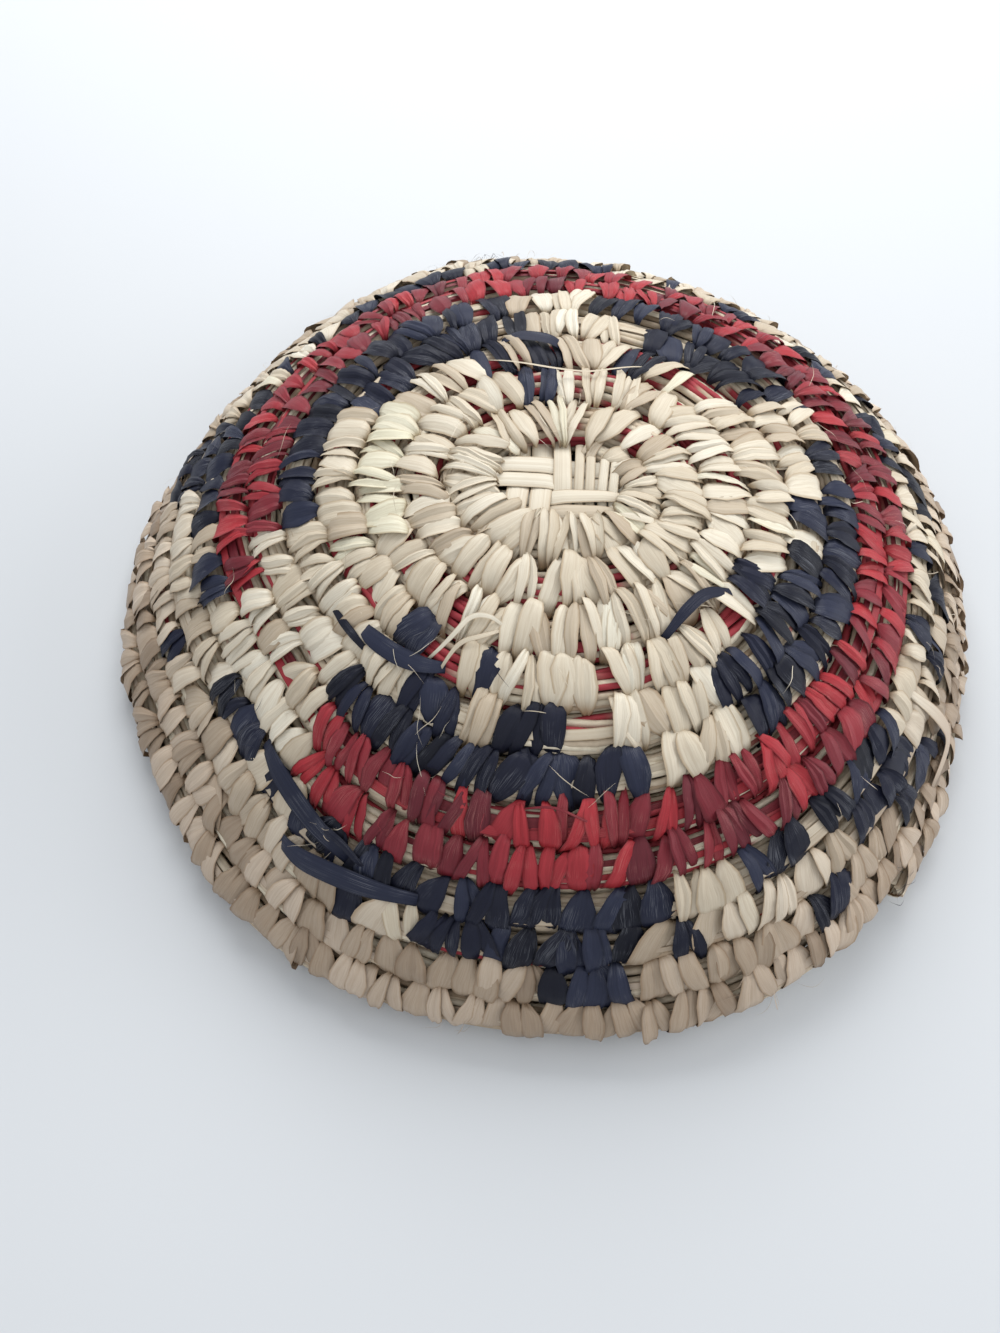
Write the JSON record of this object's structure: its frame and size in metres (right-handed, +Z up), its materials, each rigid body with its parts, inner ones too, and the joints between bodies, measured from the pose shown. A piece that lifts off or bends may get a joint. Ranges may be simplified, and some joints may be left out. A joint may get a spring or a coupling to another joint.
{
  "type": "coiled basket bowl",
  "caption": "Shallow coiled basket bowl lying mouth down: one spiral fibre bundle wound with natural, navy and red leaf strips, from a woven start to an open, stepped rim.",
  "frame": {"origin": "under the middle of the bowl's bounding box, on the plane that the rim rests on", "axes": "+Z up through the closed crown, away from the open mouth; +X to the right and +Y away from the viewer in the picture"},
  "size_m": [0.178, 0.184, 0.0555],
  "materials": {
    "foundation_fibre": "dry straw fibre, matt",
    "natural_leaf": "undyed dried leaf strip, satin",
    "navy_leaf": "navy dyed leaf strip, satin",
    "red_leaf": "crimson dyed leaf strip, satin"
  },
  "bodies": {
    "root": {"foundation_coil": "foundation_fibre", "start_strip_back_1": "natural_leaf", "start_strip_back_3": "natural_leaf", "start_strip_front_2": "natural_leaf", "start_strip_front_4": "natural_leaf", "start_strip_left_6": "natural_leaf", "start_strip_left_8": "natural_leaf", "start_strip_right_5": "natural_leaf", "start_strip_right_7": "natural_leaf", "start_strip_right_9": "natural_leaf", "stitching_natural_01": "natural_leaf", "stitching_natural_02": "natural_leaf", "stitching_natural_03": "natural_leaf", "stitching_natural_04": "natural_leaf", "stitching_natural_06": "natural_leaf", "stitching_natural_07": "natural_leaf", "stitching_natural_09": "natural_leaf", "stitching_natural_11": "natural_leaf", "stitching_natural_13": "natural_leaf", "stitching_natural_15": "natural_leaf", "stitching_natural_19": "natural_leaf", "stitching_natural_24": "natural_leaf", "stitching_natural_28": "natural_leaf", "stitching_natural_31": "natural_leaf", "stitching_natural_34": "natural_leaf", "stitching_natural_35": "natural_leaf", "stitching_natural_37": "natural_leaf", "stitching_natural_39": "natural_leaf", "stitching_natural_40": "natural_leaf", "stitching_natural_41": "natural_leaf", "stitching_natural_43": "natural_leaf", "stitching_natural_44": "natural_leaf", "stitching_natural_45": "natural_leaf", "stitching_natural_46": "natural_leaf", "stitching_natural_47": "natural_leaf", "stitching_natural_48": "natural_leaf", "stitching_natural_49": "natural_leaf", "stitching_navy_05": "navy_leaf", "stitching_navy_08": "navy_leaf", "stitching_navy_10": "navy_leaf", "stitching_navy_12": "navy_leaf", "stitching_navy_14": "navy_leaf", "stitching_navy_16": "navy_leaf", "stitching_navy_17": "navy_leaf", "stitching_navy_18": "navy_leaf", "stitching_navy_29": "navy_leaf", "stitching_navy_30": "navy_leaf", "stitching_navy_32": "navy_leaf", "stitching_navy_33": "navy_leaf", "stitching_navy_36": "navy_leaf", "stitching_navy_38": "navy_leaf", "stitching_navy_42": "navy_leaf", "stitching_red_20": "red_leaf", "stitching_red_21": "red_leaf", "stitching_red_22": "red_leaf", "stitching_red_23": "red_leaf", "stitching_red_25": "red_leaf", "stitching_red_26": "red_leaf", "stitching_red_27": "red_leaf"}
  },
  "joints": []
}
